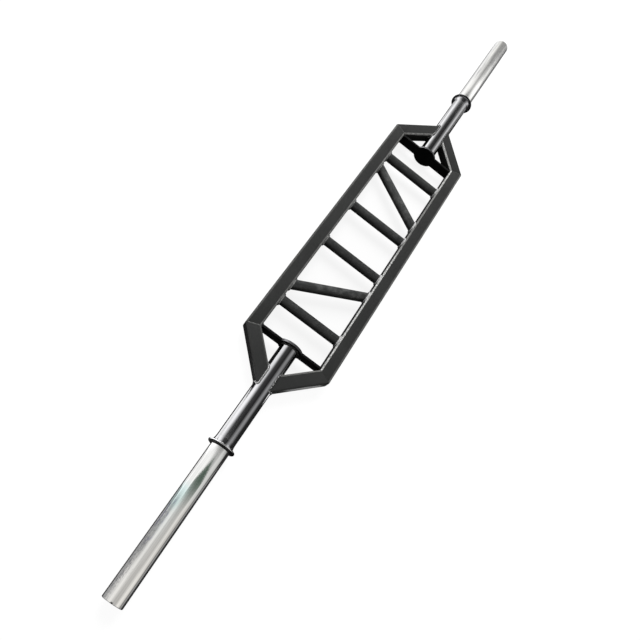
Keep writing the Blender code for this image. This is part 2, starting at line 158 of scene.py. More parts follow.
# a new finish: gives its shader, and the place on the object as a wire
def newFinish(name, baseColor, roughness, metallic=0.0, specular=0.5):
    material = bpy.data.materials.new(name)
    finishes[name] = material
    material.use_nodes = True
    tree = material.node_tree
    shader = tree.nodes["Principled BSDF"]
    values = {
        "Base Color": (*baseColor, 1), "Roughness": roughness, "Metallic": metallic,
        "Specular IOR Level": specular}
    for socket, value in values.items():
        shader.inputs[socket].default_value = value
    return shader, objectPlace(Wire(tree))

def link(wire, shader, name):
    wire.tree.links.new(wire.socket, shader.inputs[name])

def objectPlace(wire):
    return wire.node("ShaderNodeTexCoord", out="Object")

def attribute(wire, name):
    return wire.node("ShaderNodeAttribute", {"attribute_name": name}, out="Fac")

# a pattern has a scale, a detail, a roughness, and a stretch along X, Y and Z if any
def noiseOf(place, pattern):
    scale, detail, rough, *stretch = pattern
    if stretch:
        place = place.node("ShaderNodeMapping", None, {"Vector": place, "Scale": stretch[0]})
    return place.node(
        "ShaderNodeTexNoise", None,
        {"Vector": place, "Scale": scale, "Detail": detail, "Roughness": rough})

def bump(height, distance, strength):
    return height.node(
        "ShaderNodeBump", None,
        {"Height": height, "Distance": distance, "Strength": strength})

# Floor, lamps and what the gloss reflects

# an empty material, for what belongs to the studio
def studioMaterial(name):
    material = bpy.data.materials.new(name)
    material.use_nodes = True
    return material, Wire(material.node_tree)

# makes a wire the surface of its material
def show(wire):
    output = wire.tree.nodes["Material Output"]
    wire.tree.links.new(wire.socket, output.inputs["Surface"])

def addStaged(name, shape, material):
    mesh = bpy.data.meshes.new(name)
    shape.to_mesh(mesh)
    shape.free()
    mesh.materials.append(material)
    staged = addObject(name, mesh)
    return staged

def addReflected(name, shape, material):
    card = addStaged(name, shape, material)
    card.visible_camera = False
    card.visible_diffuse = False
    card.visible_shadow = False
    card.visible_transmission = False

# 1 for rays from the camera, off gloss and through clear surfaces, else 0
def seenDirectly(wire):
    kinds = ("Is Camera Ray", "Is Glossy Ray", "Is Transmission Ray")
    camera, glossy, clear = (wire.node("ShaderNodeLightPath", out=kind) for kind in kinds)
    return (camera + glossy + clear).atMost(1.0)

# nearly white to the camera, a dim grey as light, and a little darker under the frame, a painted shadow
def makeFloor():
    settings = {
        "size": 14.0, "glow": 0.95, "shown": (0.1, 0.1, 0.1, 1), "plain": (0.12, 0.12, 0.12, 1),
        "shade": 0.07, "shadeEnds": (0.46, 0.56), "shadeSides": (0.08, 0.13),
    }
    material, wire = studioMaterial("floor")
    along, across = (abs(part) for part in objectPlace(wire).parts("XY"))
    # painted shadow: the glow is lowered in a soft patch under the frame
    under = 1.0 - (along + across).step(*settings["shadeEnds"])
    under = under * (1.0 - across.step(*settings["shadeSides"]))
    strength = settings["glow"] - under * settings["shade"]
    glow = wire.node("ShaderNodeEmission", None, {"Color": (1, 1, 1, 1), "Strength": strength})
    shown = wire.node("ShaderNodeBsdfDiffuse", None, {"Color": settings["shown"]})
    plain = wire.node("ShaderNodeBsdfDiffuse", None, {"Color": settings["plain"]})
    lit = wire.node("ShaderNodeAddShader", None, {0: shown, 1: glow})
    show(wire.node("ShaderNodeMixShader", None, {0: seenDirectly(wire), 1: plain, 2: lit}))
    shape = bmesh.new()
    bmesh.ops.create_grid(shape, x_segments=1, y_segments=1, size=settings["size"] / 2)
    addStaged("floor", shape, material)

# white to the camera and in reflections, softer as light
def makeWorld():
    light = 0.15
    world = bpy.data.worlds.new("studio")
    scene.world = world
    world.use_nodes = True
    strength = seenDirectly(Wire(world.node_tree)) * (1.0 - light) + light
    background = world.node_tree.nodes["Background"]
    background.inputs["Color"].default_value = (1, 1, 1, 1)
    link(strength, background, "Strength")

# how a flat card or lamp turns at a place to face a point
def facing(place, target):
    direction = Vector(target) - Vector(place)
    return direction.to_track_quat("-Z", "Y").to_euler()

# lamps that face the bar's middle: place, size in metres, power in watts
lamps = {
    "keyLamp": ((3.0, 1.0, 4.0), (3.2, 3.2), 370),
    "fillLamp": ((0.6, -1.9, 1.5), (3.0, 1.0), 1.5),
}

def makeLamp(name, place, size, power):
    data = bpy.data.lights.new(name, "AREA")
    data.shape = "RECTANGLE"
    data.size, data.size_y = size
    data.energy = power
    lamp = addObject(name, data)
    lamp.location = place
    lamp.rotation_euler = facing(place, (0, 0, 0))
    lamp.visible_camera = False
    lamp.visible_glossy = False

# cards that stand up and face the bar along X: place, size, strengths from below to above
wallCards = {
    "nearWall": ((-2.8, 1.0, 1.3), (9.0, 2.6), (0.35,)),
    "endCardLeft": ((6.1, 1.2, 1.2), (2.0, 2.6), (2.2,)),
    "endCardRight": ((6.1, -1.2, 1.2), (2.8, 2.6), (0.2,)),
}

# cards that lie on the floor, a higher one over a lower one: place, size, strengths from right to
# left, and degrees of turn if any. The dark ones are painted shade, the bar's shadow on the floor beside
# it as the gloss sees it, and the bright ones stand in for lit floor
floorCards = {
    "keyFloor": ((2.5, 0.85, 0.0006), (7.1, 1.3), (1.4,)),
    "darkFloorRight": ((0.3, -1.08, 0.0006), (3.4, 2.24), (0.03,)),
    "darkFloorFrame": ((0, 0, 0.001), (1.1, 0.34), (0.03,)),
    "stubFloorNear": ((-0.61, 0.14, 0.0012), (0.18, 0.2), (1.7,)),
    "stubFloorFar": ((0.61, 0.14, 0.0012), (0.18, 0.2), (1.7,)),
    "darkFloorLeft": ((-0.46, 0.14, 0.0012), (0.12, 0.22), (0.02,)),
    "endFloorRight": ((-0.479, -0.117, 0.0012), (0.1, 0.06), (1.7,), 45),
    "besideLeftRail": ((0.1, 0.36, 0.0009), (1.1, 0.46), (0.05,)),
    "sleeveFloorRightNear": ((-1.25, -0.16, 0.0008), (1.1, 0.18), (0.42, 0.22, 0.07, 0.03)),
    "sleeveFloorRightFar": ((-1.25, -0.725, 0.0008), (1.1, 0.95), (0.44,)),
    "sleeveFloorRight": ((1.36, -0.3, 0.0008), (1.24, 0.46), (0.3,)),
    "sleeveFloorNear": ((-1.3, 0.8, 0.0008), (1.0, 1.52), (0.5,)),
    "sleeveFloorInner": ((-0.75, 0.14, 0.001), (0.1, 0.2), (1.1,)),
    "sleeveFloorFar": ((0.9, 0.14, 0.0008), (0.4, 0.2), (1.0,)),
    "contactShadow-1": ((-0.56, 0.0, 0.0016), (0.28, 0.141), (0.02,)),
    "contactDark1": ((0.56, 0.0, 0.0016), (0.28, 0.141), (0.02,)),
    "contactNear": ((-0.9, 0.0, 0.0016), (0.4, 0.141), (0.02, 0.02, 0.14)),
    "contactFar": ((0.9, 0.0, 0.0016), (0.4, 0.141), (0.02, 0.04, 0.6)),
}

def carry(shape, matrix):
    bmesh.ops.transform(shape, matrix=matrix, verts=shape.verts)

# a card that only shows in reflections, its strengths from its lower to its upper edge
def makeCard(name, place, target, size, strengths, spin=0):
    material, wire = studioMaterial(name)
    peak = max(strengths)
    last = max(len(strengths) - 1, 1)
    stops = [(index / last, [strength / peak] * 3) for index, strength in enumerate(strengths)]
    upwards = wire.node("ShaderNodeUVMap").parts("Y")[0]
    ramp = wire.node("ShaderNodeValToRGB", {"stops": stops}, {"Fac": upwards})
    show(wire.node("ShaderNodeEmission", None, {"Color": ramp, "Strength": peak}))
    shape = bmesh.new()
    shape.loops.layers.uv.new("UVMap")
    bmesh.ops.create_grid(shape, x_segments=1, y_segments=1, size=0.5, calc_uvs=True)
    bmesh.ops.scale(shape, vec=(*size, 1), verts=shape.verts)
    bmesh.ops.rotate(shape, matrix=Matrix.Rotation(radians(spin), 3, "Z"), verts=shape.verts)
    turn = facing(place, target).to_matrix().to_4x4()
    carry(shape, Matrix.Translation(place) @ turn)
    addReflected(name, shape, material)

# what two zones of the half pipe share
nearSleeve = (
    (0, 0.54), (26, 0.56), (44, 0.93), (60, 1.1), (82, 0.72), (118, 0.62), (140, 1.0), (166, 0.64),
    (178, 0.18))

# a half pipe round the bar that only shows in reflections. Each zone along it has its end, its tints
# at the left and the right horizon, and pairs of (degrees up from the left horizon, strength)
halfPipe = {
    "radius": 2.2, "start": -2.6, "finish": 6.0, "segments": 96, "blend": 0.06, "peak": 2.0,
    "zones": [
        (-1.3, (1.0, 1.0, 1.0), (1.0, 1.0, 1.0), (
            (0, 0.6), (30, 0.55), (60, 0.3), (110, 0.3), (150, 0.55), (180, 0.4))),
        (-1.0, (1.01, 1.0, 0.98), (1.025, 1.0, 0.95), (
            (0, 0.6), (14, 0.88), (34, 1.02), (54, 1.16), (72, 0.92), (92, 0.64), (116, 0.64), (140, 1.06),
            (162, 0.9), (178, 0.22))),
        (-0.82, (1.0, 1.0, 0.985), (1.025, 1.0, 0.955), nearSleeve),
        (-0.6, (0.95, 1.0, 1.0), (1.035, 1.0, 0.95), nearSleeve),
        (-0.25, (0.995, 1.0, 1.0), (0.99, 1.0, 0.975), (
            (0, 1.2), (52, 1.28), (66, 1.1), (78, 0.82), (94, 0.68), (116, 0.66), (140, 0.96), (166, 0.74),
            (178, 0.18))),
        (1.3, (1.0, 1.0, 1.01), (1.0, 1.0, 1.01), (
            (0, 1.85), (24, 1.8), (38, 1.25), (50, 0.5), (62, 0.09), (106, 0.03), (134, 0.52), (148, 0.42),
            (168, 0.04))),
        (3.47, (1.0, 1.0, 1.0), (1.0, 1.0, 1.0), (
            (0, 2.0), (22, 1.8), (37, 0.92), (50, 0.4), (64, 0.08), (102, 0.03), (124, 0.33), (146, 1.15),
            (164, 0.6), (176, 0.12))),
        (3.78, (1.0, 1.0, 0.985), (1.0, 1.0, 0.985), (
            (0, 1.4), (14, 1.36), (26, 1.3), (38, 1.3), (50, 1.28), (62, 1.12), (74, 0.78), (85, 0.63),
            (97, 0.78), (108, 1.08), (120, 1.42), (132, 1.58), (145, 1.6), (160, 1.45), (176, 1.3))),
        (4.12, (1.0, 1.0, 0.985), (1.0, 1.0, 0.985), (
            (0, 1.1), (12, 1.15), (25, 1.18), (38, 1.1), (50, 0.97), (62, 0.76), (74, 0.58), (85, 0.53),
            (97, 0.54), (108, 0.61), (120, 0.76), (132, 0.98), (145, 1.15), (159, 1.05), (174, 0.7))),
        (4.7, (1.0, 1.0, 0.975), (1.0, 1.0, 0.975), (
            (0, 1.2), (32, 1.2), (48, 0.92), (62, 0.56), (78, 0.46), (104, 0.5), (132, 0.54), (150, 0.72),
            (178, 0.55))),
        (9.0, (1.0, 1.0, 1.0), (1.0, 1.0, 1.0), (
            (0, 2.0), (50, 1.8), (72, 0.35), (110, 0.2), (140, 0.5), (180, 0.3))),
    ],
    "wedge": {
        "color": (0.03, 0.055, 0.038), "tip": -0.31, "length": 0.17, "middle": 0.52, "spread": 0.26,
        "edge": 0.06, "rise": (-0.69, -0.47), "cover": 0.92,
    },
}

# cuts a shape's faces on a plane; with clear, what lies beyond the plane goes
def sliced(shape, place, normal, clear=False):
    return bmesh.ops.bisect_plane(
        shape, geom=shape.verts[:] + shape.edges[:] + shape.faces[:],
        plane_co=place, plane_no=normal, clear_outer=clear)

# the colours of a zone from the left horizon, over the top, to the right one
def zoneStops(leftTint, rightTint, strengths):
    stops = []
    for angle, strength in strengths:
        tint = Vector(leftTint).lerp(Vector(rightTint), angle / 180)
        stops.append((angle / 180, tint * (strength / halfPipe["peak"])))
    return stops

def makeHalfPipe():
    material, wire = studioMaterial("halfPipe")
    along, across, up = objectPlace(wire).parts()
    height = wire.math("ARCTAN2", up, across) / pi
    shown = None
    start = None
    for finish, leftTint, rightTint, strengths in halfPipe["zones"]:
        stops = zoneStops(leftTint, rightTint, strengths)
        zone = wire.node("ShaderNodeValToRGB", {"stops": stops}, {"Fac": height})
        if shown:
            zone = along.step(start - halfPipe["blend"], start + halfPipe["blend"]).mix(shown, zone)
        shown = zone
        start = finish
    wedge = halfPipe["wedge"]
    width = ((wedge["tip"] - along) / wedge["length"]).atMost(1.0) * wedge["spread"]
    inside = (width - abs(height - wedge["middle"])).step(0.0, wedge["edge"])
    shown = (inside * along.step(*wedge["rise"]) * wedge["cover"]).mix(shown, wedge["color"])
    show(wire.node("ShaderNodeEmission", None, {"Color": shown, "Strength": halfPipe["peak"]}))
    shape = bmesh.new()
    bmesh.ops.create_cone(
        shape, cap_ends=False, segments=halfPipe["segments"], radius1=halfPipe["radius"],
        radius2=halfPipe["radius"], depth=halfPipe["finish"] - halfPipe["start"])
    middle = (halfPipe["finish"] + halfPipe["start"]) / 2
    place = Matrix.Translation((middle, 0, 0)) @ Matrix.Rotation(pi / 2, 4, "Y")
    carry(shape, place)
    sliced(shape, (0, 0, 0), (0, 0, -1), clear=True)
    addReflected("halfPipe", shape, material)

makeCamera()
makeFloor()
makeWorld()
for name, (place, size, power) in lamps.items():
    makeLamp(name, place, size, power)
makeHalfPipe()
for name, (place, size, strengths) in wallCards.items():
    makeCard(name, place, (0, place[1], place[2]), size, strengths)
for name, (place, size, strengths, *spin) in floorCards.items():
    makeCard(name, place, (place[0], place[1], 1), size, strengths, *spin)
print("camera, floor and lamps ready")

# Finishes

# matt powder coat of the rails: fine grain, faint clouds, and paler edges, partly worn and partly painted
# highlights
def makeRailPaint():
    look = {
        "color": (0.0238, 0.0242, 0.0238), "pale": (0.028, 0.0285, 0.028),
        "worn": (0.3, 0.3, 0.29), "bareAndHighlight": (0.95, 0.95, 0.93),
        "clouds": (14, 4, 0.6), "chips": (130, 3, 0.7), "flecks": (480, 2, 0.6),
        "dust": (700, 1, 0.5), "grain": (1500, 2, 0.6), "grainDepth": 0.00006,
    }
    shader, place = newFinish("railPaint", look["color"], 0.5, specular=0.28)
    edge = attribute(place, "edge")
    clouds = noiseOf(place, look["clouds"]).step(0.35, 0.75)
    color = clouds.mix(look["color"], look["pale"])
    chips = noiseOf(place, look["chips"]).step(0.35, 0.65) * 0.4
    chips = chips + noiseOf(place, look["flecks"]).step(0.45, 0.6) * 0.4
    rubbed = (0.2 + chips) * edge.atMost(1.0)
    dust = noiseOf(place, look["dust"]).step(0.7, 0.78) * 0.1
    # past 1 the rounding turns to bright bare metal, a painted highlight
    metal = (edge - 1.0).step(0.0, 1.0).mix(look["worn"], look["bareAndHighlight"])
    link((rubbed + dust).atMost(1.0).mix(color, metal), shader, "Base Color")
    link(rubbed.atMost(1.0) * 0.8, shader, "Metallic")
    grain = noiseOf(place, look["grain"])
    link(0.46 + clouds * 0.06 + grain * 0.06 - rubbed * 0.26, shader, "Roughness")
    link(bump(grain, look["grainDepth"], 0.6), shader, "Normal")

# satin black of the handles, over a fine diamond knurl
def makeHandlePaint(name, color, pale):
    look = {
        "pitch": 0.0016, "slant": 0.577, "knurlDepth": 0.00022, "farEnd": (0.0, 0.1),
        "rubbed": (45, 4, 0.65), "grain": (1800, 2, 0.6),
    }
    shader, place = newFinish(name, color, 0.42, specular=0.45)
    around, along = place.node("ShaderNodeUVMap", {"uv_map": "grip"}).parts("XY")
    turns = pi / look["pitch"]
    first = abs(((around + along * look["slant"]) * turns).wave())
    second = abs(((around - along * look["slant"]) * turns).wave())
    knurl = first.atMost(second)
    zone = attribute(place, "knurled")
    rubbed = noiseOf(place, look["rubbed"]).step(0.45, 0.7)
    tips = knurl.step(0.55, 0.95) * zone
    far = place.parts("X")[0].step(*look["farEnd"]) * zone
    shade = rubbed * (0.25 + tips * 0.75) + far * 0.18
    link(shade.mix(color, pale), shader, "Base Color")
    grain = noiseOf(place, look["grain"])
    link(0.4 + rubbed * 0.1 + grain * 0.05, shader, "Roughness")
    link(bump(knurl * zone + grain * 0.12, look["knurlDepth"], 0.8), shader, "Normal")

# shiny paint over the weld beads, bare where their spatter is above two soft limits; the pale specks are
# partly wear and partly painted glints
def makeWeldPaint(name, color, limits, metallic=0.9):
    look = {"bareAndHighlight": (0.62, 0.62, 0.62), "spatter": (420, 3, 0.65), "spatterDepth": 0.00012}
    shader, place = newFinish(name, color, 0.2, metallic)
    spatter = noiseOf(place, look["spatter"])
    link(spatter.step(*limits).mix(color, look["bareAndHighlight"]), shader, "Base Color")
    link(0.16 + spatter * 0.14, shader, "Roughness")
    link(bump(spatter, look["spatterDepth"], 0.5), shader, "Normal")

# mirror gloss of the stub tubes and collars, with smears and a soft waviness
def makeTubeGloss(name, color, smear, roughness=0.08):
    look = {"smears": (4, 4, 0.6, (3, 30, 30)), "peel": (260, 2, 0.5), "peelDepth": 0.00004}
    shader, place = newFinish(name, color, 0.09, 1.0)
    smears = noiseOf(place, look["smears"]).step(0.4, 0.75)
    link(smears.mix(color, smear), shader, "Base Color")
    link(roughness + smears * 0.06, shader, "Roughness")
    link(bump(noiseOf(place, look["peel"]), look["peelDepth"], 0.35), shader, "Normal")

# satin black of the cross plates, with a painted highlight on the rim
def makePlatePaint():
    look = {
        "color": (0.006, 0.006, 0.0063), "pale": (0.014, 0.014, 0.0145), "worn": (0.26, 0.26, 0.27),
        "clouds": (40, 4, 0.6), "grain": (1400, 2, 0.6), "grainDepth": 0.00003,
    }
    shader, place = newFinish("platePaint", look["color"], 0.34, specular=0.12)
    clouds = noiseOf(place, look["clouds"]).step(0.4, 0.8)
    # painted highlight: the rim mark makes it pale and metallic
    rubbed = attribute(place, "edge") * (0.6 + clouds * 0.4)
    link(rubbed.mix(clouds.mix(look["color"], look["pale"]), look["worn"]), shader, "Base Color")
    link(rubbed * 0.9, shader, "Metallic")
    grain = noiseOf(place, look["grain"])
    link(0.26 + clouds * 0.1 + grain * 0.04 - rubbed * 0.12, shader, "Roughness")
    link(bump(grain, look["grainDepth"], 0.4), shader, "Normal")

# hard chrome of the sleeves, scuffed where plates rub. Sleeve a also has a faint teal tint and bluish
# spots, painted reflections of coloured surroundings, and a small dark spot at its end, and sleeve b is
# brushed. Limits are along X, or in radians round the axis from the left up
def makeSleeveChrome():
    look = {
        "color": (0.78, 0.775, 0.765), "dim": (0.64, 0.64, 0.635), "dull": (0.2, 0.2, 0.225),
        "tealReflection": (0.575, 0.7, 0.69), "stain": (0.3, 0.3, 0.41), "darkSpotColor": (0.02, 0.02, 0.02),
        "ragged": (1, 4, 0.65, (14, 90, 90)), "streaks": (1, 4, 0.7, (6, 330, 330)),
        "brushed": (1, 3, 0.7, (16, 420, 420)), "speckle": (1, 3, 0.75, (170, 560, 560)),
        "blotches": (1, 3, 0.6, (45, 190, 190)), "spots": (1, 2, 0.5, (34, 150, 150)),
        "rings": (2, 2, 0.5, (900, 6, 6)), "fine": (1, 2, 0.6, (120, 700, 700)),
        "leftTurn": (0.5, 0.75), "leftTurnEnd": (1.15, 1.45), "leftAlongEnd": (-0.84, -0.76),
        "rightTurn": (1.7, 2.1), "rightAlong": (0.94, 0.98), "brushedAlong": (0.74, 0.86),
        "tealReflectionAlong": (-0.875, -0.845), "tealReflectionAlongEnd": (-0.82, -0.79), "tealReflectionTurnEnd": (1.35, 2.0),
        "bluishSpotsAlong": (-0.95, -0.93), "bluishSpotsAlongEnd": (-0.86, -0.83), "bluishSpotsTurnEnd": (1.2, 1.55),
        "darkSpotTurn": 1.46, "darkSpotWidth": (0.05, 0.14), "darkSpotAlongEnd": (-1.0632, -1.0605),
        "fineDepth": 0.00006,
    }
    shader, place = newFinish("sleeveChrome", look["color"], 0.08, 1.0)
    along, across, up = place.parts()
    around = place.math("ARCTAN2", up - axisHeight, across)
    ragged = noiseOf(place, look["ragged"])
    raggedAlong = along + ragged * 0.1
    raggedTurn = around + ragged * 0.6
    scuffTurn = around + ragged * 0.8
    left = scuffTurn.step(*look["leftTurn"]) * (1.0 - raggedTurn.step(*look["leftTurnEnd"]))
    left = left * (1.0 - raggedAlong.step(*look["leftAlongEnd"]))
    right = scuffTurn.step(*look["rightTurn"]) * raggedAlong.step(*look["rightAlong"])
    patches = ragged.step(0.6, 0.72) * 0.4
    worn = left.atLeast(right).atLeast(patches)
    brushed = noiseOf(place, look["brushed"]).step(0.46, 0.66) * along.step(*look["brushedAlong"])
    speckle = noiseOf(place, look["speckle"]).step(0.4, 0.62)
    blotches = noiseOf(place, look["blotches"]).step(0.42, 0.58)
    marks = speckle * worn * (0.5 + blotches * 0.5)
    tone = noiseOf(place, look["streaks"]).step(0.3, 0.7).mix(look["dim"], look["color"])
    tone = (marks * 0.8).atLeast(brushed * 0.42).mix(tone, look["dull"])
    # painted reflection: a faint teal tint on sleeve a
    tealReflection = along.within(look["tealReflectionAlong"], look["tealReflectionAlongEnd"])
    tealReflection = tealReflection * (1.0 - raggedTurn.step(*look["tealReflectionTurnEnd"]))
    tone = (tealReflection * 0.85).mix(tone, look["tealReflection"])
    # painted reflection: bluish spots on sleeve a
    spots = noiseOf(place, look["spots"]).step(0.5, 0.56)
    spots = spots * along.within(look["bluishSpotsAlong"], look["bluishSpotsAlongEnd"])
    spots = spots * (1.0 - raggedTurn.step(*look["bluishSpotsTurnEnd"]))
    tone = (spots * 0.8).mix(tone, look["stain"])
    # a small dark spot near the outer end of sleeve a
    darkSpot = 1.0 - abs(around - look["darkSpotTurn"]).step(*look["darkSpotWidth"])
    darkSpot = darkSpot * (1.0 - along.step(*look["darkSpotAlongEnd"]))
    link(darkSpot.mix(tone, look["darkSpotColor"]), shader, "Base Color")
    rings = noiseOf(place, look["rings"])
    link(0.055 + marks * 0.14 + rings * 0.03, shader, "Roughness")
    fine = noiseOf(place, look["fine"])
    link(bump(rings * 0.3 + fine * (0.2 + worn * 0.8), look["fineDepth"], 0.5), shader, "Normal")

# machined steel, bronze and dark bolts, all with turning marks
def makeMachined(name, color, dark, roughness):
    look = {"rings": (2, 3, 0.6, (1200, 40, 40)), "stain": (60, 4, 0.6), "ringDepth": 0.00004}
    shader, place = newFinish(name, color, roughness, 1.0)
    rings = noiseOf(place, look["rings"])
    stain = noiseOf(place, look["stain"]).step(0.4, 0.8)
    link(stain.mix(color, dark), shader, "Base Color")
    link(roughness - 0.05 + rings * 0.15, shader, "Roughness")
    link(bump(rings, look["ringDepth"], 0.5), shader, "Normal")

# black nylon of the thrust washers
def makeNylon():
    look = {
        "dark": (0.012, 0.012, 0.013), "pale": (0.024, 0.024, 0.025), "grain": (900, 3, 0.6),
        "grainDepth": 0.00004,
    }
    shader, place = newFinish("nylon", (0.016, 0.016, 0.017), 0.5)
    grain = noiseOf(place, look["grain"])
    link(grain.mix(look["dark"], look["pale"]), shader, "Base Color")
    link(0.44 + grain * 0.12, shader, "Roughness")
    link(bump(grain, look["grainDepth"], 0.5), shader, "Normal")

makeRailPaint()
makeHandlePaint("handlePaint", (0.021, 0.0218, 0.0216), (0.06, 0.061, 0.06))
makeHandlePaint("knurledPaint", (0.024, 0.0248, 0.0246), (0.135, 0.137, 0.135))
makeWeldPaint("weldPaint", (0.3, 0.3, 0.3), (0.4, 0.7))
# a painted highlight: a pale finish for the upper parts of the handle beads at the right rail
makeWeldPaint("weldHighlight", (0.55, 0.55, 0.55), (0.3, 0.5), 0.2)
makeWeldPaint("weldBlack", (0.03, 0.03, 0.03), (0.58, 0.7))
makeWeldPaint("weldSpotted", (0.06, 0.06, 0.06), (0.5, 0.6))
makeTubeGloss("tubeGloss", (0.5, 0.5, 0.507), (0.4, 0.4, 0.405))
makeTubeGloss("flareGloss", (0.52, 0.52, 0.53), (0.44, 0.44, 0.445))
# painted highlight and painted shade: a bright and a near-black copy of the collars' gloss
makeTubeGloss("collarHighlight", (0.9, 0.9, 0.91), (0.8, 0.8, 0.81), 0.12)
makeTubeGloss("collarShaded", (0.03, 0.03, 0.031), (0.02, 0.02, 0.021), 0.2)
makePlatePaint()
makeSleeveChrome()
makeMachined("plainSteel", (0.5, 0.5, 0.49), (0.34, 0.33, 0.32), 0.34)
makeMachined("bronze", (0.55, 0.36, 0.17), (0.36, 0.22, 0.1), 0.36)
makeMachined("darkBolt", (0.035, 0.035, 0.037), (0.02, 0.02, 0.02), 0.38)
makeNylon()
print("finishes made:", len(finishes))

# Shared ways of building

# makes a shape a piece that rides on a body and stands for its nodes
def addPiece(name, shape, finishNames, nodes, body="frame"):
    bmesh.ops.recalc_face_normals(shape, faces=shape.faces)
    mesh = bpy.data.meshes.new(name)
    shape.to_mesh(mesh)
    shape.free()
    mesh.shade_smooth()
    mesh.set_sharp_from_angle(angle=radians(sharpAngle))
    for finish in finishNames:
        mesh.materials.append(finishes[finish])
    piece = addObject(name, mesh)
    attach(piece, body)
    if nodes:
        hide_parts(*nodes)
    return piece

# writes how worn the paint is at each point, which also paints highlights: 1 is worn in places, 2 shows
# bright metal
def markWearAndHighlight(piece, wearAndHighlightOf):
    layer = piece.data.attributes.new("edge", "FLOAT", "POINT")
    for vertex, value in zip(piece.data.vertices, layer.data):
        value.value = wearAndHighlightOf(vertex.co)

def eased(shape, edges, size, segments):
    bmesh.ops.bevel(
        shape, geom=edges, offset=size, offset_type="OFFSET", affect="EDGES",
        segments=segments, profile=0.5, material=-1)

# a closed outline of (distance along X, radius), spun about the bar's axis
def turned(profile, sign, steps):
    shape = bmesh.new()
    corners = [shape.verts.new((sign * x, 0, axisHeight + radius)) for x, radius in profile]
    edges = [shape.edges.new((corners[i - 1], corners[i])) for i in range(len(corners))]
    bmesh.ops.spin(
        shape, geom=corners + edges, cent=(0, 0, axisHeight), axis=(1, 0, 0),
        angle=2 * pi, steps=steps, use_merge=True)
    bmesh.ops.remove_doubles(shape, verts=shape.verts, dist=mergeDistance)
    return shape

# points of a rounded corner in a profile, between two angles in degrees
def rounded(x, radius, size, start, finish, steps=6):
    points = []
    for step in range(steps + 1):
        angle = radians(start + (finish - start) * step / steps)
        points.append((x + size * cos(angle), radius + size * sin(angle)))
    return points

# radii of the beads, and how a bead swells at each ripple and wobbles
weld = {
    "handle": 0.0038, "cope": 0.003, "disc": 0.003, "plate": 0.0026, "seam": 0.0009, "corner": 0.0024,
    "ripple": 0.0021, "swell": 0.16, "seamRipple": 0.0018, "seamSwell": 0.25,
    "wobble": 0.1, "wobbleScale": 260,
}

# a bead laid along points: a small round tube that swells at each ripple
def weldBead(points, size, closed, ripple=weld["ripple"], swell=weld["swell"]):
    curve = bpy.data.curves.new("bead", "CURVE")
    curve.dimensions = "3D"
    curve.bevel_depth = size
    curve.bevel_resolution = 3
    curve.use_fill_caps = not closed
    spline = curve.splines.new("POLY")
    spline.points.add(len(points) - 1)
    along = 0.0
    for index, point in enumerate(points):
        if index:
            along += (Vector(point) - Vector(points[index - 1])).length
        wobble = noise.noise(Vector(point) * weld["wobbleScale"]) * weld["wobble"]
        crest = abs(sin(pi * along / ripple))
        spline.points[index].co = (*point, 1)
        spline.points[index].radius = 1 - swell + swell * crest + wobble
    spline.use_cyclic_u = closed
    holder = addObject("bead", curve)
    mesh = bpy.data.meshes.new_from_object(holder.evaluated_get(bpy.context.evaluated_depsgraph_get()))
    bpy.data.objects.remove(holder)
    return mesh

# joins a mesh into a shape, with its place in the list of finishes
def joined(shape, mesh, finishIndex=0):
    first = len(shape.faces)
    shape.from_mesh(mesh)
    shape.faces.ensure_lookup_table()
    for face in shape.faces[first:]:
        face.material_index = finishIndex
    bpy.data.meshes.remove(mesh)
    bmesh.ops.remove_doubles(shape, verts=shape.verts, dist=mergeDistance)

# Rails

rail = {
    "size": 0.038, "corner": 0.0055, "cornerSteps": 8, "y": 0.11, "cornerX": 0.411, "endTurn": 45,
    "spare": 0.03, "endReach": 0.2, "mitreGap": 0.00008, "seam": 0.0005, "copeCut": 0.004,
    "wearAndHighlightCuts": (-0.34, -0.02, 0.06, 0.28, 0.34), "wearAndHighlightMargin": 0.0005,
    "calm": (-0.01, 0.33), "calmWearAndHighlight": 1.2,
}
cornerX = rail["cornerX"]
railHalf = rail["size"] / 2
railFlat = railHalf - rail["corner"]
railInnerY = rail["y"] - railHalf
endTurn = radians(rail["endTurn"])
mitreTurn = endTurn / 2

# wear and painted highlights of the rounded edges: a side rail's outer and inner ones, and an end rail's
# inner ones
sideWearAndHighlight = {"left": (0.35, 1.0), "right": (0.9, 2.0)}
endWearAndHighlight = {("a", "left"): 0.3, ("a", "right"): 0.8, ("b", "left"): 1.3, ("b", "right"): 2.0}

# what moves a shape made for end b, left, to each of the frame's corners
lift = Matrix.Translation((0, 0, axisHeight))
cornerPlaces = {
    ("b", "left"): lift,
    ("b", "right"): lift @ Matrix.Rotation(pi, 4, "X"),
    ("a", "left"): lift @ Matrix.Rotation(pi, 4, "Y"),
    ("a", "right"): lift @ Matrix.Rotation(pi, 4, "Z"),
}

# square tube along X between two places, its four long edges rounded
def railBlank(start, finish):
    shape = bmesh.new()
    bmesh.ops.create_cube(shape, size=1)
    bmesh.ops.translate(shape, vec=(0.5, 0, 0), verts=shape.verts)
    bmesh.ops.scale(shape, vec=(finish - start, rail["size"], rail["size"]), verts=shape.verts)
    bmesh.ops.translate(shape, vec=(start, 0, 0), verts=shape.verts)
    longEdges = [edge for edge in shape.edges if abs(edge.verts[0].co.x - edge.verts[1].co.x) > nearly]
    eased(shape, longEdges, rail["corner"], rail["cornerSteps"])
    return shape

# cuts one end on the mitre and eases the cut edge, which leaves a fine groove
def mitre(shape, place, normal):
    cut = sliced(shape, place, normal, clear=True)
    loop = [item for item in cut["geom_cut"] if isinstance(item, bmesh.types.BMEdge)]
    bmesh.ops.holes_fill(shape, edges=loop, sides=0)
    eased(shape, loop, rail["seam"], 2)

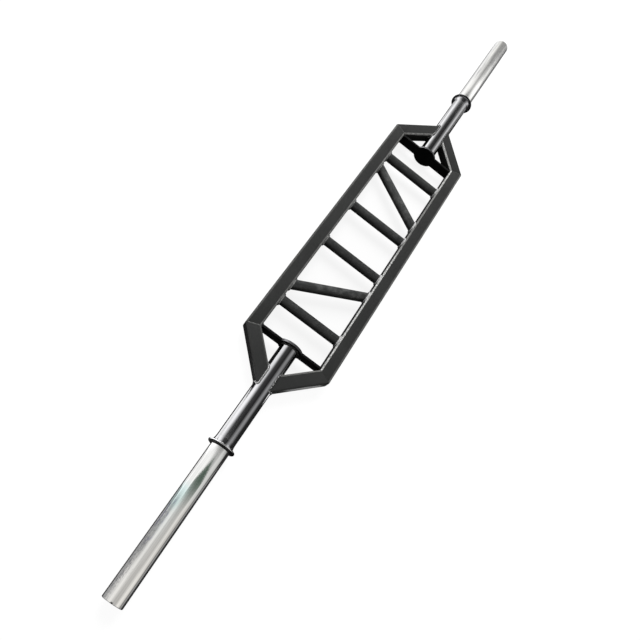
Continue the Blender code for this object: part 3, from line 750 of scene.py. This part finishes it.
# whether a point is on a rounded edge, by its distances from the rail's centre line
def onRounding(across, up):
    flat = railFlat + rail["wearAndHighlightMargin"]
    return abs(across) > flat and abs(up) > flat

def makeSideRails():
    reach = cornerX + rail["spare"]
    for side, sign in sides.items():
        shape = railBlank(-reach, reach)
        for x in rail["wearAndHighlightCuts"]:
            sliced(shape, (x, 0, 0), (1, 0, 0))
        bmesh.ops.translate(shape, vec=(0, sign * rail["y"], axisHeight), verts=shape.verts)
        for end in ends.values():
            mitre(
                shape, (end * (cornerX - rail["mitreGap"]), sign * rail["y"], axisHeight),
                (end * cos(mitreTurn), -sign * sin(mitreTurn), 0))
        piece = addPiece(f"sideRail_{side}", shape, ["railPaint"], [f"rail_{side}"])
        # the marks paint highlights as well as wear: the right rail's inner rounding shows bright metal,
        # softer between the calm limits
        outerWearAndHighlight, innerWearAndHighlight = sideWearAndHighlight[side]

        def wearAndHighlightOf(point):
            across = abs(point.y) - rail["y"]
            if not onRounding(across, point.z - axisHeight):
                return 0.0
            if across > 0:
                return outerWearAndHighlight
            return rail["calmWearAndHighlight"] if rail["calm"][0] <= point.x <= rail["calm"][1] else innerWearAndHighlight

        markWearAndHighlight(piece, wearAndHighlightOf)

stub = {"radius": 0.025, "bore": 0.021, "start": 0.40293, "end": 0.6914, "steps": 160}

# one end rail at end b, left; its far end is slid along until it lies on the stub tube
def endRailShape():
    shape = railBlank(-rail["spare"], rail["endReach"])
    for step in range(-3, 4):
        sliced(shape, (0, 0, rail["copeCut"] * step), (0, 0, 1))
    place = Matrix.Translation((cornerX, rail["y"], 0)) @ Matrix.Rotation(-endTurn, 4, "Z")
    farEnd = [vertex for vertex in shape.verts if vertex.co.x > rail["endReach"] - nearly]
    carry(shape, place)
    for vertex in farEnd:
        wanted = sqrt(stub["radius"] ** 2 - vertex.co.z ** 2)
        slide = (wanted - vertex.co.y) / sin(endTurn)
        vertex.co.x -= slide * cos(endTurn)
        vertex.co.y += slide * sin(endTurn)
    mitre(
        shape, (cornerX + rail["mitreGap"], rail["y"], 0),
        (-cos(mitreTurn), sin(mitreTurn), 0))
    return shape

def makeEndRails():
    for (end, side), place in cornerPlaces.items():
        shape = endRailShape()
        carry(shape, place)
        piece = addPiece(
            f"endRail_{end}_{side}", shape, ["railPaint"], [f"end_rail_{end}_{side}"])

        # painted highlights: the far end rails' inner roundings show bright metal
        def wearAndHighlightOf(point):
            across = (abs(point.x) - cornerX) * sin(endTurn)
            across += (abs(point.y) - rail["y"]) * cos(endTurn)
            inner = across <= 0 and onRounding(across, point.z - axisHeight)
            return endWearAndHighlight[end, side] if inner else 0.0

        markWearAndHighlight(piece, wearAndHighlightOf)

makeSideRails()
makeEndRails()
print("rails made")

# Cross plates

plate = {
    "thickness": 0.0065, "height": 0.034, "disc": 0.035, "outerX": 0.40263, "ease": 0.0006,
    "steps": 144, "railGap": 0.0001, "rimAngle": 1.2,
    "highlightRise": 0.0008, "highlightStart": -0.012, "highlightSpan": 0.03, "highlightLeast": 0.25,
}

# the middle slice of a disc, drawn out sideways to the rails, then thickened
def plateShape():
    half = plate["height"] / 2
    shape = bmesh.new()
    bmesh.ops.create_circle(
        shape, cap_ends=True, segments=plate["steps"], radius=plate["disc"],
        matrix=Matrix.Rotation(pi / 2, 4, "Y"))
    for height in (-half, half):
        sliced(shape, (0, 0, height), (0, 0, 1))
    arcs = [vertex for vertex in shape.verts if abs(vertex.co.z) < half - nearly]
    bmesh.ops.dissolve_verts(shape, verts=arcs)
    uprights = [
        edge for edge in shape.edges
        if abs(edge.verts[0].co.y - edge.verts[1].co.y) < nearly
        and abs(edge.verts[0].co.z + edge.verts[1].co.z) < nearly]
    for edge in uprights:
        outward = 1 if edge.verts[0].co.y > 0 else -1
        drawn = bmesh.ops.extrude_edge_only(shape, edges=[edge])
        for vertex in drawn["geom"]:
            if isinstance(vertex, bmesh.types.BMVert):
                vertex.co.y = outward * (railInnerY - plate["railGap"])
    bmesh.ops.recalc_face_normals(shape, faces=shape.faces)
    thick = bmesh.ops.extrude_face_region(shape, geom=shape.faces[:])
    moved = [item for item in thick["geom"] if isinstance(item, bmesh.types.BMVert)]
    bmesh.ops.translate(shape, vec=(plate["thickness"], 0, 0), verts=moved)
    bmesh.ops.recalc_face_normals(shape, faces=shape.faces)
    rim = [
        edge for edge in shape.edges
        if len(edge.link_faces) == 2 and edge.calc_face_angle() > plate["rimAngle"]]
    eased(shape, rim, plate["ease"], 3)
    return shape

# painted highlight: the disc's upper rim is paler and metallic, more so towards the left
def plateRimHighlight(point):
    up = point.z - axisHeight
    onRim = abs(hypot(point.y, up) - plate["disc"]) < plate["ease"] * 0.7
    if not onRim or up <= plate["height"] / 2 + plate["highlightRise"]:
        return 0.0
    return min(max((point.y - plate["highlightStart"]) / plate["highlightSpan"], plate["highlightLeast"]), 1.0)

def makeCrossPlates():
    for end, sign in ends.items():
        shape = plateShape()
        middle = sign * (plate["outerX"] - plate["thickness"] / 2)
        bmesh.ops.translate(shape, vec=(middle - plate["thickness"] / 2, 0, axisHeight), verts=shape.verts)
        piece = addPiece(
            f"crossPlate_{end}", shape, ["platePaint"], [f"cross_plate_{end}"])
        markWearAndHighlight(piece, plateRimHighlight)

makeCrossPlates()
print("cross plates made")

# Stub tubes, collars and washers

collar = {
    "radius": 0.035, "start": 0.6917, "face": 0.6977, "round": 0.0029, "bore": 0.0153,
    "recess": 0.0268, "floor": 0.6969, "flare": 0.034, "flareTurn": 24, "flareSteps": 10,
    "flareGap": 0.0002, "highlightWidth": 0.0042, "steps": 160,
}
washer = {"radius": 0.0265, "start": 0.6972, "end": 0.6987, "ease": 0.0003, "steps": 128}

def makeStubTubes():
    for end, sign in ends.items():
        profile = [
            (stub["start"], stub["bore"]), (stub["start"], stub["radius"]),
            (stub["end"], stub["radius"]), (stub["end"], stub["bore"])]
        shape = turned(profile, sign, stub["steps"])
        addPiece(f"stubTube_{end}", shape, ["tubeGloss"], [f"stub_tube_{end}"])

# a collar, with the flare by which the stub tube runs up into it. Past the flare the ring is near black,
# painted shade, except a paler band on collar a, a painted highlight
def makeCollars():
    start, face = collar["start"], collar["face"]
    size = collar["round"]
    flare = collar["flare"]
    flareStart = start - flare * sin(radians(collar["flareTurn"]))
    flareFoot = stub["radius"] + collar["flareGap"]
    for end, sign in ends.items():
        highlightEnd = start + collar["highlightWidth"] if sign < 0 else start
        profile = [(start, collar["bore"]), (start, flareFoot)]
        profile += rounded(
            flareStart, flareFoot + flare, flare, 270, 270 + collar["flareTurn"], collar["flareSteps"])
        profile += rounded(start + size, collar["radius"] - size, size, 180, 90)
        profile += rounded(face - size, collar["radius"] - size, size, 90, 0)
        profile += [(face, collar["recess"]), (collar["floor"], collar["recess"])]
        profile += [(collar["floor"], collar["bore"])]
        shape = turned(profile, sign, collar["steps"])
        # painted shade past the band, painted highlight on collar a's band
        for part in shape.faces:
            distance = abs(part.calc_center_median().x)
            if distance < start:
                part.material_index = 2
            elif distance < highlightEnd:
                part.material_index = 1
        addPiece(
            f"collarRing_{end}", shape, ["collarShaded", "collarHighlight", "flareGloss"],
            [f"collar_{end}"])

def makeThrustWashers():
    ease = washer["ease"]
    for end, sign in ends.items():
        profile = [
            (washer["start"], collar["bore"]),
            (washer["start"], washer["radius"] - ease), (washer["start"] + ease, washer["radius"]),
            (washer["end"] - ease, washer["radius"]), (washer["end"], washer["radius"] - ease),
            (washer["end"], collar["bore"])]
        shape = turned(profile, sign, washer["steps"])
        addPiece(f"thrustWasher_{end}", shape, ["nylon"], [f"thrust_washer_{end}"])

makeStubTubes()
makeCollars()
makeThrustWashers()
print("stub tubes and collars made")

# Handles

# cuts across a straight handle's sides and the end of its knurl are measured from its middle
handle = {
    "radius": 0.014, "outerX": 0.304, "angledX": 0.197, "innerX": 0.0762, "tilt": 30, "steps": 72,
    "cuts": (-0.0846, -0.07285, -0.0658, 0.0658, 0.07285, 0.0846), "knurlEnd": 0.07285,
    "ringSteps": 240, "beadOut": 0.0006, "railGap": 0.0002, "highlightHeight": 0.0125,
}

# how far the rail's inner side lies from the middle, at a height over the rail's centre line
def railSurface(up):
    beyond = min(max(abs(up) - railFlat, 0), rail["corner"])
    return railInnerY + rail["corner"] - sqrt(rail["corner"] ** 2 - beyond ** 2)

# the closed ring where a handle meets a rail, a little out from the handle
def handleRing(x, tilt, side):
    radius = handle["radius"] + handle["beadOut"]
    points = []
    for step in range(handle["ringSteps"]):
        angle = 2 * pi * step / handle["ringSteps"]
        up = radius * sin(angle)
        across = radius * cos(angle) / cos(tilt)
        y = side * (railSurface(up) + handle["railGap"])
        points.append((x - y * tan(tilt) + across, y, axisHeight + up))
    return points

# a tube along Z, with the map grip in metres round and along it
def gripShape(length, tilt):
    shape = bmesh.new()
    bmesh.ops.create_cone(
        shape, cap_ends=True, segments=handle["steps"],
        radius1=handle["radius"], radius2=handle["radius"], depth=length)
    for height in handle["cuts"]:
        sliced(shape, (0, 0, height / cos(tilt)), (0, 0, 1))
    grip = shape.loops.layers.uv.new("grip")
    knurled = shape.verts.layers.float.new("knurled")
    for vertex in shape.verts:
        vertex[knurled] = 1.0 if abs(vertex.co.z) < handle["knurlEnd"] / cos(tilt) - nearly else 0.0
    for face in shape.faces:
        angles = [atan2(loop.vert.co.y, loop.vert.co.x) % (2 * pi) for loop in face.loops]
        wraps = max(angles) - min(angles) > pi
        for loop, angle in zip(face.loops, angles):
            if wraps and angle < pi:
                angle += 2 * pi
            loop[grip].uv = (angle * handle["radius"], loop.vert.co.z)
    return shape

# a handle between the rails, its ends slid along until they lie on them, with a bead round each
def makeHandle(kind, end, x, tilt):
    length = 2 * rail["y"] / cos(tilt)
    shape = gripShape(length, tilt)
    tips = [vertex for vertex in shape.verts if abs(vertex.co.z) > length / 2 - nearly]
    lying = Matrix.Rotation(-pi / 2, 4, "X")
    place = Matrix.Translation((x, 0, 0)) @ Matrix.Rotation(tilt, 4, "Z") @ lying
    carry(shape, place)
    for vertex in tips:
        side = 1 if vertex.co.y > 0 else -1
        slide = side * railSurface(vertex.co.z) - vertex.co.y
        vertex.co.y += slide
        vertex.co.x -= slide * tan(tilt)
    bmesh.ops.translate(shape, vec=(0, 0, axisHeight), verts=shape.verts)
    for side in (-1, 1):
        joined(shape, weldBead(handleRing(x, tilt, side), weld["handle"], True), 1)
    # painted highlight: the upper part of each bead at the right rail takes the pale bead finish
    for face in shape.faces:
        middle = face.calc_center_median()
        if face.material_index and middle.y < 0 and middle.z > axisHeight + handle["highlightHeight"]:
            face.material_index = 2
    paint = "knurledPaint" if tilt else "handlePaint"
    addPiece(
        f"handle_{kind}_{end}_tube", shape, [paint, "weldPaint", "weldHighlight"],
        [f"handle_{kind}_{end}"])

def makeHandles():
    places = {"outer": ("outerX", 0), "angled": ("angledX", handle["tilt"]), "inner": ("innerX", 0)}
    for kind, (key, tilt) in places.items():
        for end, sign in ends.items():
            makeHandle(kind, end, sign * handle[key], radians(-sign * tilt))

makeHandles()
print("handles made")

# Weld beads of the frame

runs = {
    "copeSteps": 260, "cornerSteps": 12, "copeOut": 0.0004, "discSteps": 380, "discOut": 0.0006,
    "plateSteps": 80, "plateShort": 0.001, "plateIn": 0.0002,
    "seamSteps": 120, "seamShort": 0.0052, "seamDepth": 0.55, "insideSteps": 80, "insideOut": 0.0006,
}
# painted highlight: how pale each mitre seam is, brightest at the near left corner and dark at the near
# right
seamWearAndHighlight = {("a", "left"): 1.3, ("a", "right"): 0.0, ("b", "left"): 0.6, ("b", "right"): 0.5}

# the rail's section, a little out from it, as a closed line
def copeOutline():
    radius = rail["corner"] + runs["copeOut"]
    outline = []
    for quarter in range(4):
        start = pi / 2 * quarter
        cx = railFlat * (1 if quarter in (0, 3) else -1)
        cy = railFlat * (1 if quarter in (0, 1) else -1)
        for step in range(runs["cornerSteps"] + 1):
            angle = start + pi / 2 * step / runs["cornerSteps"]
            outline.append(Vector((cx + radius * cos(angle), cy + radius * sin(angle))))
    outline.append(outline[0])
    return outline

# round the end of an end rail, where it lies on the stub tube, for end b left
def copePath():
    outline = copeOutline()
    total = sum((b - a).length for a, b in zip(outline, outline[1:]))
    points = []
    for first, second in zip(outline, outline[1:]):
        count = max(1, round(runs["copeSteps"] * (second - first).length / total))
        for step in range(count):
            across, up = first.lerp(second, step / count)
            y = sqrt(stub["radius"] ** 2 - up ** 2)
            points.append((cornerX + rail["y"] + across / sin(endTurn) - y, y, up))
    return points

def makeCopeWelds():
    for (end, side), place in cornerPlaces.items():
        points = [tuple(place @ Vector(point)) for point in copePath()]
        shape = bmesh.new()
        joined(shape, weldBead(points, weld["cope"], True))
        # painted highlight: the near-left cope weld takes the paler finish
        finish = "weldPaint" if (end, side) == ("a", "left") else "weldSpotted"
        addPiece(f"copeWeld_{end}_{side}", shape, [finish], [])

# round each stub tube, against its disc
def makeDiscWelds():
    radius = stub["radius"] + runs["copeOut"]
    for end, sign in ends.items():
        x = sign * (plate["outerX"] + runs["discOut"])
        points = []
        for step in range(runs["discSteps"]):
            angle = 2 * pi * step / runs["discSteps"]
            points.append((x, radius * cos(angle), axisHeight + radius * sin(angle)))
        shape = bmesh.new()
        joined(shape, weldBead(points, weld["disc"], True))
        addPiece(f"discWeld_{end}", shape, ["weldBlack"], [])

# up both faces of a cross plate, at each rail
def makePlateWelds():
    half = plate["height"] / 2 - runs["plateShort"]
    for end, sign in ends.items():
        shape = bmesh.new()
        for side in (-1, 1):
            for x in (plate["outerX"], plate["outerX"] - plate["thickness"]):
                points = []
                for step in range(runs["plateSteps"] + 1):
                    up = -half + 2 * half * step / runs["plateSteps"]
                    y = side * (railSurface(up) - runs["plateIn"])
                    points.append((sign * x, y, axisHeight + up))
                joined(shape, weldBead(points, weld["plate"], False))
        addPiece(f"plateWeld_{end}", shape, ["weldBlack"], [])

# the ground seam of a mitre, over the top with up 1 and below with up -1, for end b left
def seamPath(up):
    reach = railHalf - runs["seamShort"]
    z = up * (railHalf - weld["seam"] * runs["seamDepth"])
    points = []
    for step in range(runs["seamSteps"] + 1):
        across = -reach + 2 * reach * step / runs["seamSteps"]
        points.append((cornerX + across * tan(mitreTurn), rail["y"] + across, z))
    return points

# up the inside of a mitre's corner, for end b left
def insidePath():
    x = cornerX - railHalf * tan(mitreTurn) + runs["insideOut"]
    y = railInnerY + runs["insideOut"]
    steps = runs["insideSteps"]
    return [(x, y, railFlat * (-1 + 2 * step / steps)) for step in range(steps + 1)]

def makeSeams():
    for (end, side), place in cornerPlaces.items():
        shape = bmesh.new()
        for up in (-1, 1):
            points = [tuple(place @ Vector(point)) for point in seamPath(up)]
            joined(shape, weldBead(points, weld["seam"], False, weld["seamRipple"], weld["seamSwell"]))
        points = [tuple(place @ Vector(point)) for point in insidePath()]
        joined(shape, weldBead(points, weld["corner"], False))
        piece = addPiece(f"mitreSeam_{end}_{side}", shape, ["railPaint"], [])
        markWearAndHighlight(piece, lambda point: seamWearAndHighlight[end, side])

makeCopeWelds()
makeDiscWelds()
makePlateWelds()
makeSeams()
print("weld beads made")

# Sleeves, and the finishes of the nodes that stay

sleeve = {
    "radius": 0.025, "seat": 0.0213, "bore": 0.019, "start": 0.699, "end": 1.065, "ease": 0.0012,
    "innerSeat": 0.0406, "outerSeat": 0.02, "steps": 192,
}
keptNodes = {
    "axle": "plainSteel", "axle_ring": "plainSteel", "end_washer": "plainSteel",
    "end_bolt": "darkBolt", "bush_inner": "bronze", "bush_outer": "bronze", "end_plug": "sleeveChrome",
}

# a tube with a wider seat at each end of its bore, and eased outer edges
def makeSleeves():
    start, finish, ease = sleeve["start"], sleeve["end"], sleeve["ease"]
    radius, seat, bore = sleeve["radius"], sleeve["seat"], sleeve["bore"]
    innerSeat, outerSeat = start + sleeve["innerSeat"], finish - sleeve["outerSeat"]
    for end, sign in ends.items():
        profile = [
            (start, seat), (start, radius - ease), (start + ease * 0.4, radius - ease * 0.35),
            (start + ease, radius), (finish - ease, radius), (finish - ease * 0.4, radius - ease * 0.35),
            (finish, radius - ease), (finish, seat), (outerSeat, seat), (outerSeat, bore),
            (innerSeat, bore), (innerSeat, seat)]
        shape = turned(profile, sign, sleeve["steps"])
        addPiece(
            f"sleeveTube_{end}", shape, ["sleeveChrome"], [f"sleeve_{end}"],
            f"sleeve_{end}")

def finishKeptNodes():
    for name, finish in keptNodes.items():
        for end in ends:
            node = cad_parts[f"{name}_{end}"]
            node.data.materials.clear()
            node.data.materials.append(finishes[finish])

makeSleeves()
finishKeptNodes()
print("sleeves made")
